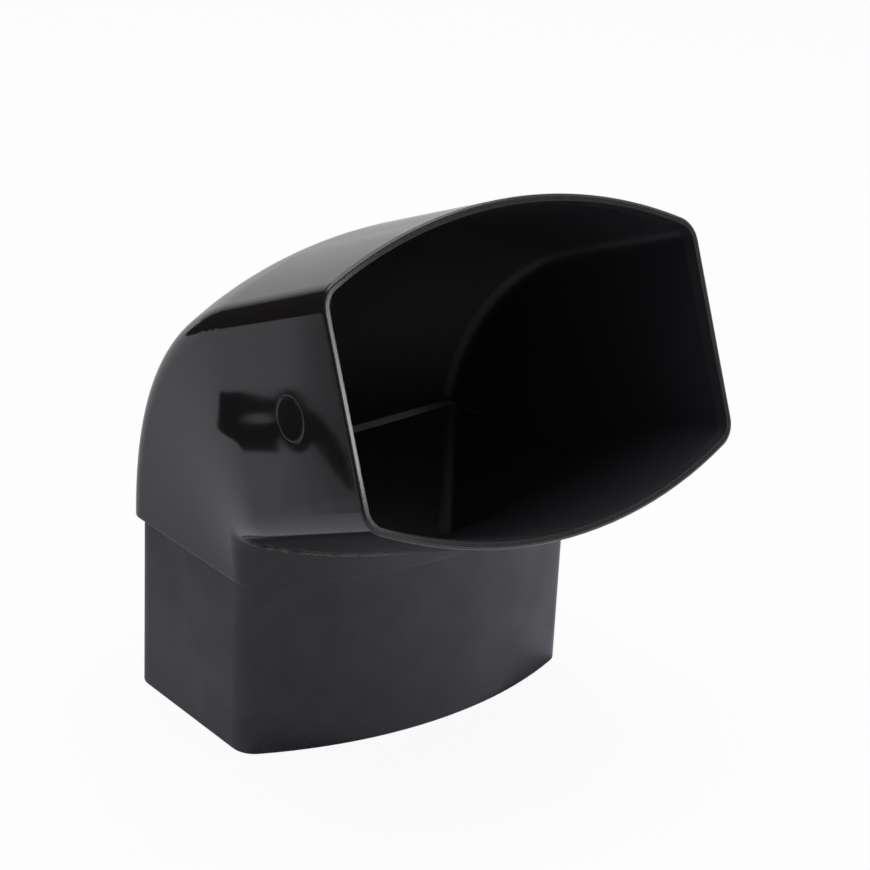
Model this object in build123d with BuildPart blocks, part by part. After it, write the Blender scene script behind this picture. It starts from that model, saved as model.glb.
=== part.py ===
from build123d import *

import os
from math import cos, radians, sin, sqrt

# Front-facing downpipe bend, moulded in one piece. A bowed-rectangle spigot points down, and a
# bowed-rectangle socket faces forward and up, so the pipe turns through bend_angle.
# +Z is up and -Y is the front. The origin is the middle of the spigot's foot. Millimetres, degrees.

# Overall form
bend_angle = 67.5  # turn between the spigot's axis and the socket's axis
bend_radius = 7.5  # tight side, from the bend's centre line to the middle of the socket's underside
wall = 2.4
corner_radius = 7.0  # between a flat short side and a bowed long side
crease_radius = 2.0  # where the socket's underside meets the front

# Spigot, which goes into the pipe below
spigot_width = 105.0
spigot_side = 49.9  # flat short side, between its sharp corners
spigot_bow = 12.1  # how far a long side stands out beyond the corners
spigot_length = 47.4
foot_chamfer = 0.5

# Shoulder where the elbow begins
shoulder_step = 0.3  # at the front and on both sides
back_step = 4.0

# Elbow and socket, which takes the pipe above
socket_clearance = 4.4  # across its bore, to a pipe above that is as wide as the spigot
socket_side = 53.8
elbow_bow = 14.8  # where the straight part begins
socket_bow = 14.0  # at the rim
socket_length = 45.4  # straight part, up to the rim
rim_round = 0.8
lead_in_depth = 0.6
lead_in_length = 3.0

# Inside step where the spigot's bore opens into the elbow
throat_rise = 12.6  # above the shoulder, at the bore's two short sides
throat_sag = 8.0  # how much lower it lies in the middle

# Round witness line of a mould insert, on the left side of the socket
witness_diameter = 11.0
witness_width = 0.4
witness_depth = 0.2
witness_from_rim = 22.4

fan_steps = 8  # between the sections of the elbow
fan_start = 1.0  # the sections begin this far from the bend's centre line
beyond = 12.0  # how far a cutting form reaches past what it cuts
tolerance = 0.01

shoulder_width = spigot_width + 2 * shoulder_step
shoulder_side = spigot_side + 2 * shoulder_step
socket_width = spigot_width + socket_clearance + 2 * wall
socket_axis = bend_radius + socket_bow + socket_side / 2  # from the bend's centre line
back_corner = socket_axis + socket_side / 2
bend_centre = Vector(0, spigot_side / 2 + back_step - back_corner, spigot_length)
throat_height = spigot_length + throat_rise
widest = socket_width / 2 + beyond
farthest = spigot_length + 2 * back_corner


def bow_line(width, side, bow, x, inset=0.0):
    """Distance from the section's middle to a bowed side at x, once that side is offset inwards."""
    radius = ((width / 2) ** 2 + bow**2) / (2 * bow)
    return side / 2 + bow - radius + sqrt((radius - inset) ** 2 - x**2)


def fan_plane(angle):
    """Plane through the bend's centre line, with X across and Y out to the elbow's back."""
    normal = (0, -sin(radians(angle)), cos(radians(angle)))
    return Plane(origin=bend_centre, x_dir=(1, 0, 0), z_dir=normal)


def barrel(width, side, bow, radius):
    """Bowed rectangle with rounded corners."""
    x, y = width / 2, side / 2
    with BuildLine() as outline:
        ThreePointArc((-x, y), (0, y + bow), (x, y))
        Line((x, y), (x, -y))
        ThreePointArc((x, -y), (0, -y - bow), (-x, -y))
        Line((-x, -y), (-x, y))
    fillet(make_face(outline.edges()).vertices(), radius)


def fan_section(width, bow, inset):
    """Section of the elbow from near the bend's centre line to its bowed back, inset all round."""
    x = width / 2 - inset
    corner = socket_axis + bow_line(width, socket_side, bow, x, inset)
    crown = socket_axis + bow_line(width, socket_side, bow, 0, inset)
    with BuildLine() as outline:
        ThreePointArc((-x, corner), (0, crown), (x, corner))
        Polyline((x, corner), (x, fan_start), (-x, fan_start), (-x, corner))
    section = make_face(outline.edges())
    fillet(section.vertices().sort_by(Axis.Y)[-2:], corner_radius - inset)


def behind(axis, width, side, bow, inset):
    """All that lies behind one bowed side of a section with its middle at axis, wider than the part."""
    edge = axis - bow_line(width, side, bow, widest, inset)
    crown = axis - bow_line(width, side, bow, 0, inset)
    with BuildLine() as outline:
        ThreePointArc((-widest, edge), (0, crown), (widest, edge))
        Polyline((widest, edge), (widest, farthest), (-widest, farthest), (-widest, edge))
    make_face(outline.edges())


def lies_in(plane, edge):
    """Whether an edge lies in a plane."""
    return all(abs(plane.to_local_coords(edge @ share).Z) < tolerance for share in (0, 0.5, 1))


def bend_form(inset=0.0, past_rim=0.0):
    """Elbow and socket as a filled form, inset from the outer skin and past_rim longer."""
    socket_start = fan_plane(bend_angle)
    length = socket_length + past_rim
    with BuildPart() as back:
        for step in range(fan_steps + 1):
            share = step / fan_steps
            ease = share**2 * (3 - 2 * share)
            width = shoulder_width + (socket_width - shoulder_width) * ease
            bow = spigot_bow + (elbow_bow - spigot_bow) * share * (2 - share)
            with BuildSketch(fan_plane(bend_angle * share)):
                fan_section(width, bow, inset)
        loft()
    with BuildPart() as straight:
        for along in (0, length):
            bow = elbow_bow + (socket_bow - elbow_bow) * along / socket_length
            with BuildSketch(socket_start.offset(along)):
                fan_section(socket_width, bow, inset)
        loft()
    with BuildPart() as fronts:
        with BuildSketch(Plane.XY.offset(spigot_length - beyond)):
            behind(0, shoulder_width, shoulder_side, spigot_bow, inset)
        extrude(amount=farthest)
        with BuildSketch(socket_start):
            behind(socket_axis, socket_width, socket_side, socket_bow, inset)
        extrude(amount=farthest, both=True)
        front = -bow_line(shoulder_width, shoulder_side, spigot_bow, 0, inset)
        crease = fronts.edges().sort_by_distance((0, front, throat_height))[0]
        fillet(crease, crease_radius + inset)
    with BuildPart() as form:
        add(back.part)
        add(straight.part)
        add(fronts.part, mode=Mode.INTERSECT)
        level = (Plane.XY.offset(spigot_length), socket_start, socket_start.offset(length))
        rising = form.edges().filter_by(lambda edge: not any(lies_in(plane, edge) for plane in level))
        front_side = rising.filter_by(lambda edge: socket_start.to_local_coords(edge @ 0.5).Y < socket_axis)
        corners = front_side.filter_by(lambda edge: abs((edge @ 0.5).X) > spigot_width / 4)
        fillet(corners, corner_radius - inset)
    return form.part


elbow = bend_form()
elbow_hollow = bend_form(wall, beyond)
rim = fan_plane(bend_angle).offset(socket_length)

with BuildPart() as bore:
    with BuildSketch(Plane.XY):
        barrel(spigot_width, spigot_side, spigot_bow, corner_radius)
        offset(amount=-wall, kind=Kind.INTERSECTION, mode=Mode.REPLACE)
    extrude(amount=throat_height + tolerance)

with BuildPart() as throat:
    bore_half = spigot_width / 2 - wall
    with BuildSketch(Plane.XZ):
        with BuildLine():
            sag = ThreePointArc(
                (-bore_half, throat_height),
                (0, throat_height - throat_sag),
                (bore_half, throat_height),
            )
            Polyline(
                sag @ 1,
                (widest, throat_height),
                (widest, farthest),
                (-widest, farthest),
                (-widest, throat_height),
                sag @ 0,
            )
        make_face()
    extrude(amount=farthest, both=True)
    add(elbow_hollow, mode=Mode.INTERSECT)

with BuildPart() as downpipe_bend:
    with BuildSketch(Plane.XY):
        barrel(spigot_width, spigot_side, spigot_bow, corner_radius)
    extrude(amount=spigot_length)
    chamfer(downpipe_bend.edges().filter_by(lambda edge: lies_in(Plane.XY, edge)), foot_chamfer)
    add(elbow)
    add(bore.part, mode=Mode.SUBTRACT)
    add(throat.part, mode=Mode.SUBTRACT)

    # Rim, with a lead-in for the pipe above and a rounded outer edge
    rim_face = downpipe_bend.faces().sort_by(Axis(rim.origin, rim.z_dir))[-1]
    mouth = rim_face.inner_wires()[0].edges()
    chamfer(mouth, length=lead_in_depth, length2=lead_in_length, reference=rim_face)
    rim_face = downpipe_bend.faces().sort_by(Axis(rim.origin, rim.z_dir))[-1]
    fillet(rim_face.outer_wire().edges(), rim_round)

    # Witness line
    witness = rim.offset(-witness_from_rim).from_local_coords((-socket_width / 2, socket_axis))
    with BuildSketch(Plane(origin=witness, z_dir=(-1, 0, 0))):
        Circle((witness_diameter + witness_width) / 2)
        Circle((witness_diameter - witness_width) / 2, mode=Mode.SUBTRACT)
    extrude(amount=-witness_depth, mode=Mode.SUBTRACT)

downpipe_bend.part.label = "downpipe_bend"
os.makedirs("parts", exist_ok=True)
export_step(downpipe_bend.part, "parts/downpipe_bend.step")
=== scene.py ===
import math

import bpy
from mathutils import Matrix, Vector

# A moulded downpipe bend on a pale floor. Metres, in the part's own frame: +Z is up, -Y is the front,
# and the origin is the middle of the spigot's foot. A pair of limits holds the value at which a mask
# is empty and the value at which it is full.

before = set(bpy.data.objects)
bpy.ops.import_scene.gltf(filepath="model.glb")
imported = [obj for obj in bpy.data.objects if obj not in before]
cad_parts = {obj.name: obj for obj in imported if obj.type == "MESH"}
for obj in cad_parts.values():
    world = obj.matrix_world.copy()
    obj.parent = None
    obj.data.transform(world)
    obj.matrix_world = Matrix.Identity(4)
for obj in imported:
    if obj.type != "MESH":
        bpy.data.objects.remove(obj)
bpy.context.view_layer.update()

MM = 0.001
WHITE = (1.0, 1.0, 1.0, 1.0)

# Places on the bend
SHOULDER = 47.4 * MM  # the matte spigot ends here and the gloss elbow begins
RIM_MIDDLE = Vector((0.0, -69.77, 109.49)) * MM
RIM_AXIS = Vector((0.0, -0.92388, 0.38268))
WITHIN = Vector((0.0, -20.0, 85.0)) * MM  # a place in the hollow that every outer face looks away from
MARK_MIDDLE = Vector((-57.1, -49.08, 100.92)) * MM  # round mould mark on the left
MARK_RADIUS = 5.5 * MM

# Limits of the masks
OUTSIDE = (-1.0 * MM, 1.0 * MM)  # from WITHIN to a face's plane, below 0 if the face looks towards it
ON_SPIGOT = (SHOULDER, SHOULDER - 0.15 * MM)  # height
ON_RIM = (-0.15 * MM, -0.05 * MM)  # along the rim's axis, from the rim's flat
NEAR_RIM = (-6.0 * MM, -4.0 * MM)
ON_MARK = (0.22 * MM, 0.08 * MM)  # off the mark's line
CREASE_DOWN = (-0.38, -0.48)  # Z of the normal, on the fillet between front and underside, where a highlight line is painted
CREASE_NOT_UNDER = (-0.76, -0.66)  # Z of the normal
CREASE_FORWARD = (-0.55, -0.62)  # Y of the normal
STEP_BELOW = (63.0 * MM, 62.0 * MM)  # height of the inside step, which gets a painted highlight
STEP_UPWARD = (0.80, 0.90)  # Z of the normal
STEP_BACK = (5.0 * MM, 15.0 * MM)  # Y
STEP_HIGHLIGHT_FADE = (50.0 * MM, 34.0 * MM)  # X; the painted highlight on the step grows brighter towards -X
AT_FOOT = (7.0 * MM, 0.0)  # height

# Sizes of the patterns
GRAIN = 0.35 * MM
PEEL = 5.0 * MM
WEAR = 12.0 * MM
SPECKLE = 0.5 * MM
CREASE_HIGHLIGHT_BREAKS = 2.5 * MM
MOTTLE = 9.0 * MM
SCRATCH = 0.9 * MM

# Relief
GRAIN_DEPTH = 0.1 * MM
GRAIN_STRENGTH = 0.25
PEEL_DEPTH = 0.02  # share of the grain's depth
EDGE_ROUNDING = 0.5 * MM
RIM_ROUNDING = 0.25 * MM
INSIDE_ROUNDING = 0.1 * MM

# Limits of the patterns, as values of their noise
WORN = (0.3, 0.7)
SPECKLED = (0.35, 0.65)
SPECKLE_SHARE = (0.6, 1.0)  # from the least to the most scuffed
CREASE_HIGHLIGHT_BROKEN = (0.30, 0.55)
MOTTLED = (0.32, 0.68)
SCRATCHED = (0.66, 0.72)

# Roughness, from the least to the most worn
GLOSS_ROUGHNESS = (0.045, 0.065)
MATTE_ROUGHNESS = (0.44, 0.50)
INSIDE_ROUGHNESS = (0.30, 0.36)
RIM_ROUGHNESS = 0.11
CREASE_HIGHLIGHT_ROUGHNESS = 0.40
MARK_ROUGHNESS = 0.45
PLASTIC_IOR = 1.5

# Colours of the bend
GLOSS_BLACK = (0.010, 0.010, 0.011, 1.0)
SPIGOT_DARK = (0.0195, 0.0195, 0.0265, 1.0)
SPIGOT_PALE = (0.0285, 0.0275, 0.0355, 1.0)
SCRATCH_GREY = (0.10, 0.10, 0.11, 1.0)
INSIDE_BLACK = (0.024, 0.024, 0.029, 1.0)
# Painted highlight on the inside step, dimmer to the right and brighter to the left
STEP_HIGHLIGHT_DIM = (0.12, 0.12, 0.13, 1.0)
STEP_HIGHLIGHT_BRIGHT = (0.65, 0.66, 0.70, 1.0)
RIM_GREY = (0.05, 0.05, 0.05, 1.0)
# Painted highlight along the crease fillet
CREASE_HIGHLIGHT_GREY = (0.09, 0.087, 0.084, 1.0)
MARK_GREY = (0.022, 0.022, 0.024, 1.0)

# Floor
FLOOR_SIZE = 12.0
FLOOR_GREY = (0.8, 0.8, 0.8, 1.0)
FLOOR_WHITENESS = 0.94  # to the camera; what is left of it keeps the shadow
FLOOR_MIRRORED = 0.7  # share of the painted glow below that the gloss mirrors
FLOOR_UNDER_X = (53.0 * MM, 51.0 * MM)  # painted shadow under the spigot, from its middle
FLOOR_UNDER_Y = (37.0 * MM, 35.0 * MM)
FLOOR_FRONT = (110.0 * MM, 10.0 * MM)  # Y
FLOOR_RIGHT = (-50.0 * MM, 60.0 * MM)  # X
FLOOR_FAR = (500.0 * MM, 1500.0 * MM)  # Y
# Painted light and shade of the floor as the gloss mirrors it: a painted shadow under the spigot,
# brighter to the right near the front, dimmer behind, paler again far behind
MIRRORED_PAINTED_SHADOW = (0.25, 0.25, 0.27, 1.0)
MIRRORED_LEFT = (0.64, 0.62, 0.69, 1.0)
MIRRORED_RIGHT = (1.08, 1.05, 1.16, 1.0)
MIRRORED_BACK = (0.46, 0.45, 0.50, 1.0)
MIRRORED_FAR = (0.78, 0.77, 0.78, 1.0)

# Room
BACKDROP_BEARING = math.radians(25.0)  # from +X towards +Y
BACKDROP_EDGE = (0.26, 0.64)  # cosine of the angle from that bearing
BACKDROP_LIGHT = (0.03, 0.64)  # in the gloss, away from the backdrop and on it
ROOM_LIGHT = 0.3  # on what is matte

# Studio cards, in millimetres
FLAG = [(-490, 60, 0), (-87, 930, 0), (-87, 930, 450), (-490, 60, 450)]
SHADE = [(-154, 95), (-183, 131), (-322, 335), (-430, 300), (-300, 95)]
SHADE_STEPS = [(-3.3, -14), (-3.3, -2.3), (-3.3, -2.3), (0, 0), (0, -14)]  # of the corners, per layer
SHADE_LAYERS = 5
SHADE_HEIGHT = 1
SHADE_GAP = 0.1  # between two layers
SHADE_COVER = 0.17  # share of the light that one layer stops
# Dark shapes and a white glint on the floor, painted there for the gloss to mirror
REFLECTION_MARK_HEIGHT = 2  # the glint lies 1 above it and the head 2
DARK_REFLECTION_BLOCK = [(-178, 192), (-201, 190), (-208, 175), (-181, 135), (-162, 150), (-139, 158)]
DARK_REFLECTION_TAIL = [
    (-214, 170), (-211, 152), (-206, 138), (-199, 122), (-190, 106), (-182, 94),
    (-186, 109), (-192, 125), (-197, 140), (-193, 145),
]
OVAL_POINTS = 24
CARD_BLACK = (0.012, 0.012, 0.014, 1.0)
CARD_WHITE = (0.5, 0.5, 0.52, 1.0)
CARD_BROWN = (0.052, 0.030, 0.027, 1.0)

# Camera
CAMERA_PLACE = Vector((-348.82, -468.85, 301.60)) * MM
CAMERA_AIM = Vector((5.13, -24.83, 76.02)) * MM
CAMERA_ROLL = math.radians(2.9065)
CAMERA_LENS = 98.71
CAMERA_SENSOR = 36.0
CAMERA_CLIP = (0.01, 50.0)


class Nodes:
    """Short calls for building one node tree."""

    def __init__(self, tree):
        self.tree = tree
        tree.nodes.clear()

    def add(self, kind, **values):
        node = self.tree.nodes.new(kind)
        for name, value in values.items():
            setattr(node, name, value)
        return node

    def set(self, socket, value):
        if isinstance(value, bpy.types.NodeSocket):
            self.tree.links.new(value, socket)
        else:
            socket.default_value = value

    def math(self, operation, first, second=0.0, clamp=False):
        node = self.add("ShaderNodeMath", operation=operation, use_clamp=clamp)
        self.set(node.inputs[0], first)
        self.set(node.inputs[1], second)
        return node.outputs[0]

    def both(self, first, second):
        """Where two masks overlap."""
        return self.math("MULTIPLY", first, second)

    def span(self, value, limits, result=(0.0, 1.0)):
        """Smooth step of value between two limits."""
        node = self.add("ShaderNodeMapRange", interpolation_type="SMOOTHSTEP")
        for socket, item in zip(node.inputs, (value, *limits, *result)):
            self.set(socket, item)
        return node.outputs[0]

    def mix(self, share, first, second):
        node = self.add("ShaderNodeMix", data_type="RGBA")
        self.set(node.inputs[0], share)
        self.set(node.inputs[6], first)
        self.set(node.inputs[7], second)
        return node.outputs[2]

    def blend(self, share, first, second):
        node = self.add("ShaderNodeMix", data_type="FLOAT")
        self.set(node.inputs[0], share)
        self.set(node.inputs[2], first)
        self.set(node.inputs[3], second)
        return node.outputs[0]

    def noise(self, place, size, detail, roughness=0.5):
        """Noise with features of about that size in metres."""
        node = self.add("ShaderNodeTexNoise")
        self.set(node.inputs["Vector"], place)
        self.set(node.inputs["Scale"], 1.0 / size)
        self.set(node.inputs["Detail"], detail)
        self.set(node.inputs["Roughness"], roughness)
        return node.outputs[0]

    def vector(self, operation, first, second, result=0):
        node = self.add("ShaderNodeVectorMath", operation=operation)
        self.set(node.inputs[0], first)
        self.set(node.inputs[1], second)
        return node.outputs[result]

    def along(self, place, start, direction):
        """How far a place lies from start along a direction."""
        away = self.vector("SUBTRACT", place, tuple(start))
        return self.vector("DOT_PRODUCT", away, direction, "Value")

    def split(self, vector):
        """X, Y and Z of a vector."""
        node = self.add("ShaderNodeSeparateXYZ")
        self.set(node.inputs[0], vector)
        return node.outputs


def plastic_masks(n, place):
    """Where each finish of the bend is, and where highlights are painted on the crease and the inside
    step, by the places and the directions of its faces.
    """
    normal = n.add("ShaderNodeNewGeometry").outputs["True Normal"]
    x, y, height = n.split(place)
    facing = n.split(normal)

    outside = n.span(n.along(place, WITHIN, normal), OUTSIDE)
    from_rim = n.along(place, RIM_MIDDLE, tuple(RIM_AXIS))
    from_mark = n.vector("DISTANCE", place, tuple(MARK_MIDDLE), "Value")
    off_line = n.math("ABSOLUTE", n.math("SUBTRACT", from_mark, MARK_RADIUS))
    crease = n.both(n.span(facing["Z"], CREASE_DOWN), n.span(facing["Z"], CREASE_NOT_UNDER))
    forward = n.both(outside, n.span(facing["Y"], CREASE_FORWARD))
    step_top = n.both(n.span(height, STEP_BELOW), n.span(facing["Z"], STEP_UPWARD))
    inside_back = n.both(n.math("SUBTRACT", 1.0, outside), n.span(y, STEP_BACK))
    return {
        "outside": outside,
        "spigot": n.both(outside, n.span(height, ON_SPIGOT)),
        "rim": n.span(from_rim, ON_RIM),
        "near_rim": n.span(from_rim, NEAR_RIM),
        "mark": n.span(off_line, ON_MARK),
        "crease": n.both(crease, forward),
        "step": n.both(inside_back, step_top),
        "step_highlight_fade": n.span(x, STEP_HIGHLIGHT_FADE),
        "foot": n.span(height, AT_FOOT),
    }


def plastic():
    """Black moulded plastic: gloss on the elbow, finely textured on the spigot, scuffed on the rim,
    with painted highlights on the crease and the inside step.
    """
    material = bpy.data.materials.new("black_plastic")
    material.use_nodes = True
    n = Nodes(material.node_tree)
    place = n.add("ShaderNodeTexCoord").outputs["Object"]
    where = plastic_masks(n, place)
    speckle = n.span(n.noise(place, SPECKLE, detail=3.0), SPECKLED, SPECKLE_SHARE)
    scuffed = n.both(where["rim"], speckle)
    # Painted highlight along the crease fillet, broken up by noise
    crease_highlight = n.both(where["crease"], n.span(n.noise(place, CREASE_HIGHLIGHT_BREAKS, detail=4.0), CREASE_HIGHLIGHT_BROKEN))
    scratched = n.both(where["foot"], n.span(n.noise(place, SCRATCH, detail=3.0), SCRATCHED))

    # Relief
    peel = n.math("MULTIPLY", n.noise(place, PEEL, detail=1.0), PEEL_DEPTH)
    relief = n.blend(where["spigot"], peel, n.noise(place, GRAIN, detail=3.0))
    rounding = n.blend(where["near_rim"], EDGE_ROUNDING, RIM_ROUNDING)
    rounded = n.add("ShaderNodeBevel")
    n.set(rounded.inputs["Radius"], n.blend(where["outside"], INSIDE_ROUNDING, rounding))
    bump = n.add("ShaderNodeBump")
    n.set(bump.inputs["Strength"], GRAIN_STRENGTH)
    n.set(bump.inputs["Distance"], GRAIN_DEPTH)
    n.set(bump.inputs["Height"], relief)
    n.set(bump.inputs["Normal"], rounded.outputs[0])

    # Gloss
    wear = n.noise(place, WEAR, detail=4.0)
    gloss = n.span(wear, WORN, GLOSS_ROUGHNESS)
    matte = n.span(wear, WORN, MATTE_ROUGHNESS)
    roughness = n.blend(where["spigot"], gloss, matte)
    roughness = n.blend(where["outside"], n.span(wear, WORN, INSIDE_ROUGHNESS), roughness)
    roughness = n.blend(where["rim"], roughness, RIM_ROUGHNESS)
    roughness = n.blend(crease_highlight, roughness, CREASE_HIGHLIGHT_ROUGHNESS)
    roughness = n.blend(where["mark"], roughness, MARK_ROUGHNESS)

    # Colour
    mottle = n.span(n.noise(place, MOTTLE, detail=6.0, roughness=0.65), MOTTLED)
    spigot = n.mix(scratched, n.mix(mottle, SPIGOT_DARK, SPIGOT_PALE), SCRATCH_GREY)
    colour = n.mix(where["spigot"], GLOSS_BLACK, spigot)
    colour = n.mix(where["outside"], INSIDE_BLACK, colour)
    # Painted highlight on the inside step
    colour = n.mix(where["step"], colour, n.mix(where["step_highlight_fade"], STEP_HIGHLIGHT_DIM, STEP_HIGHLIGHT_BRIGHT))
    colour = n.mix(scuffed, colour, RIM_GREY)
    colour = n.mix(crease_highlight, colour, CREASE_HIGHLIGHT_GREY)
    colour = n.mix(where["mark"], colour, MARK_GREY)

    shader = n.add("ShaderNodeBsdfPrincipled")
    n.set(shader.inputs["Base Color"], colour)
    n.set(shader.inputs["Roughness"], roughness)
    n.set(shader.inputs["IOR"], PLASTIC_IOR)
    n.set(shader.inputs["Normal"], bump.outputs[0])
    n.set(n.add("ShaderNodeOutputMaterial").inputs["Surface"], shader.outputs[0])
    return material


def flat(name, corners, material):
    """A flat piece of the studio, by its corners."""
    mesh = bpy.data.meshes.new(name)
    mesh.from_pydata(corners, [], [tuple(range(len(corners)))])
    mesh.materials.append(material)
    made = bpy.data.objects.new(name, mesh)
    bpy.context.scene.collection.objects.link(made)
    return made


def floor():
    """Pale floor that stays white to the camera but keeps a faint shadow. To the gloss it glows with
    painted light and shade that differ by place.
    """
    material = bpy.data.materials.new("floor")
    material.use_nodes = True
    n = Nodes(material.node_tree)
    rays = n.add("ShaderNodeLightPath").outputs
    seen = n.math("MULTIPLY", rays["Is Camera Ray"], FLOOR_WHITENESS)
    seen = n.math("ADD", seen, rays["Is Transmission Ray"], clamp=True)
    seen = n.math("ADD", seen, n.math("MULTIPLY", rays["Is Glossy Ray"], FLOOR_MIRRORED), clamp=True)

    x, y, _ = n.split(n.add("ShaderNodeTexCoord").outputs["Object"])
    under_x = n.span(n.math("ABSOLUTE", x), FLOOR_UNDER_X)
    under_y = n.span(n.math("ABSOLUTE", y), FLOOR_UNDER_Y)
    near = n.mix(n.span(x, FLOOR_RIGHT), MIRRORED_LEFT, MIRRORED_RIGHT)
    mirrored = n.mix(n.span(y, FLOOR_FRONT), MIRRORED_BACK, near)
    mirrored = n.mix(n.span(y, FLOOR_FAR), mirrored, MIRRORED_FAR)
    # painted shadow under the spigot, as the gloss sees it
    mirrored = n.mix(n.both(under_x, under_y), mirrored, MIRRORED_PAINTED_SHADOW)

    diffuse = n.add("ShaderNodeBsdfDiffuse")
    n.set(diffuse.inputs["Color"], FLOOR_GREY)
    glow = n.add("ShaderNodeEmission")
    n.set(glow.inputs["Color"], n.mix(rays["Is Glossy Ray"], WHITE, mirrored))
    n.set(glow.inputs["Strength"], 1.0)
    mixed = n.add("ShaderNodeMixShader")
    n.set(mixed.inputs[0], seen)
    n.set(mixed.inputs[1], diffuse.outputs[0])
    n.set(mixed.inputs[2], glow.outputs[0])
    n.set(n.add("ShaderNodeOutputMaterial").inputs["Surface"], mixed.outputs[0])

    far = FLOOR_SIZE / 2
    made = flat("floor", [(-far, -far, 0), (far, -far, 0), (far, far, 0), (-far, far, 0)], material)


def paint(name, shade, cover=1.0):
    """Plain matte paint for a studio card, or a thin film that covers only a share."""
    material = bpy.data.materials.new(name)
    material.use_nodes = True
    n = Nodes(material.node_tree)
    diffuse = n.add("ShaderNodeBsdfDiffuse")
    n.set(diffuse.inputs["Color"], shade)
    film = n.add("ShaderNodeMixShader")
    n.set(film.inputs[0], cover)
    n.set(film.inputs[1], n.add("ShaderNodeBsdfTransparent").outputs[0])
    n.set(film.inputs[2], diffuse.outputs[0])
    n.set(n.add("ShaderNodeOutputMaterial").inputs["Surface"], film.outputs[0])
    return material


def card(name, corners, material):
    """Studio card beside the object, seen only as a reflection in the gloss. Corners in millimetres."""
    made = flat(name, [Vector(corner) * MM for corner in corners], material)
    made.visible_camera = False
    made.visible_diffuse = False
    made.visible_shadow = False


def level(outline, height):
    """An outline laid flat at a height."""
    return [(x, y, height) for x, y in outline]


def oval(middle, size, turn):
    """Outline of an oval of that size, turned by that many degrees."""
    lean = math.radians(turn)
    outline = []
    for step in range(OVAL_POINTS):
        angle = math.tau * step / OVAL_POINTS
        x, y = size[0] / 2 * math.cos(angle), size[1] / 2 * math.sin(angle)
        outline.append((
            middle[0] + x * math.cos(lean) - y * math.sin(lean),
            middle[1] + x * math.sin(lean) + y * math.cos(lean),
        ))
    return outline


def shade_outline(layer):
    """Outline of one layer of the shade. Its edges differ by layer, so that the shade fades in."""
    return [(x + layer * dx, y + layer * dy) for (x, y), (dx, dy) in zip(SHADE, SHADE_STEPS)]


def cards():
    """What the gloss left side mirrors, seen nowhere else: a standing flag, layers of painted shade on
    the floor beside it, and dark shapes with a white glint laid on the floor as painted reflections.
    """
    black = paint("black_card", CARD_BLACK)
    white = paint("white_card", CARD_WHITE)
    card("flag", FLAG, paint("brown_card", CARD_BROWN))
    film = paint("film", CARD_BLACK, SHADE_COVER)
    for layer in range(SHADE_LAYERS):
        height = SHADE_HEIGHT + SHADE_GAP * layer
        card(f"shade_{layer}", level(shade_outline(layer), height), film)
    card("painted_reflection_block", level(DARK_REFLECTION_BLOCK, REFLECTION_MARK_HEIGHT), black)
    glint = oval(middle=(-191, 162), size=(9, 11), turn=-60)
    card("painted_reflection_glint", level(glint, REFLECTION_MARK_HEIGHT + 1), white)
    head = oval(middle=(-199, 153), size=(60, 13), turn=-59.5)
    card("painted_reflection_head", level(head, REFLECTION_MARK_HEIGHT + 2), black)
    card("painted_reflection_tail", level(DARK_REFLECTION_TAIL, REFLECTION_MARK_HEIGHT), black)


def surroundings():
    """A room that is white to the camera, and in the gloss only on a backdrop behind the object."""
    world = bpy.data.worlds.new("room")
    bpy.context.scene.world = world
    world.use_nodes = True
    n = Nodes(world.node_tree)
    rays = n.add("ShaderNodeLightPath").outputs
    direction = n.add("ShaderNodeTexCoord").outputs["Generated"]
    backdrop = (math.cos(BACKDROP_BEARING), math.sin(BACKDROP_BEARING), 0.0)
    facing = n.vector("DOT_PRODUCT", direction, backdrop, "Value")
    mirrored = n.span(facing, BACKDROP_EDGE, BACKDROP_LIGHT)
    seen = n.math("ADD", rays["Is Camera Ray"], rays["Is Transmission Ray"], clamp=True)
    strength = n.blend(seen, n.blend(rays["Is Glossy Ray"], ROOM_LIGHT, mirrored), 1.0)
    background = n.add("ShaderNodeBackground")
    n.set(background.inputs["Color"], WHITE)
    n.set(background.inputs["Strength"], strength)
    n.set(n.add("ShaderNodeOutputWorld").inputs["Surface"], background.outputs[0])


def lamp(name, place, aim, size, power):
    """Rectangular soft light that faces aim."""
    data = bpy.data.lights.new(name, "AREA")
    data.shape = "RECTANGLE"
    data.size, data.size_y = size
    data.energy = power
    made = bpy.data.objects.new(name, data)
    made.location = place
    made.rotation_euler = (Vector(aim) - Vector(place)).to_track_quat("-Z", "Y").to_euler()
    bpy.context.scene.collection.objects.link(made)


def camera():
    """The photograph's viewing angle."""
    data = bpy.data.cameras.new("camera")
    data.lens = CAMERA_LENS
    data.sensor_width = CAMERA_SENSOR
    data.clip_start, data.clip_end = CAMERA_CLIP
    made = bpy.data.objects.new("camera", data)
    looking = (CAMERA_AIM - CAMERA_PLACE).to_track_quat("-Z", "Y").to_matrix().to_4x4()
    rolled = looking @ Matrix.Rotation(CAMERA_ROLL, 4, "Z")
    made.matrix_world = Matrix.Translation(CAMERA_PLACE) @ rolled
    bpy.context.scene.collection.objects.link(made)
    bpy.context.scene.camera = made


camera()
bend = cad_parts["downpipe_bend"]
bend.material_slots[0].material = plastic()
floor()
surroundings()
lamp("overhead", place=(0.1, 0.1, 1.3), aim=(0.0, 0.0, 0.05), size=(1.2, 1.2), power=14.0)
lamp("window", place=(0.713, -1.277, 0.56), aim=(-0.056, -0.07, 0.109), size=(0.13, 0.2), power=1.2)
cards()

bpy.context.scene.view_settings.view_transform = "Standard"
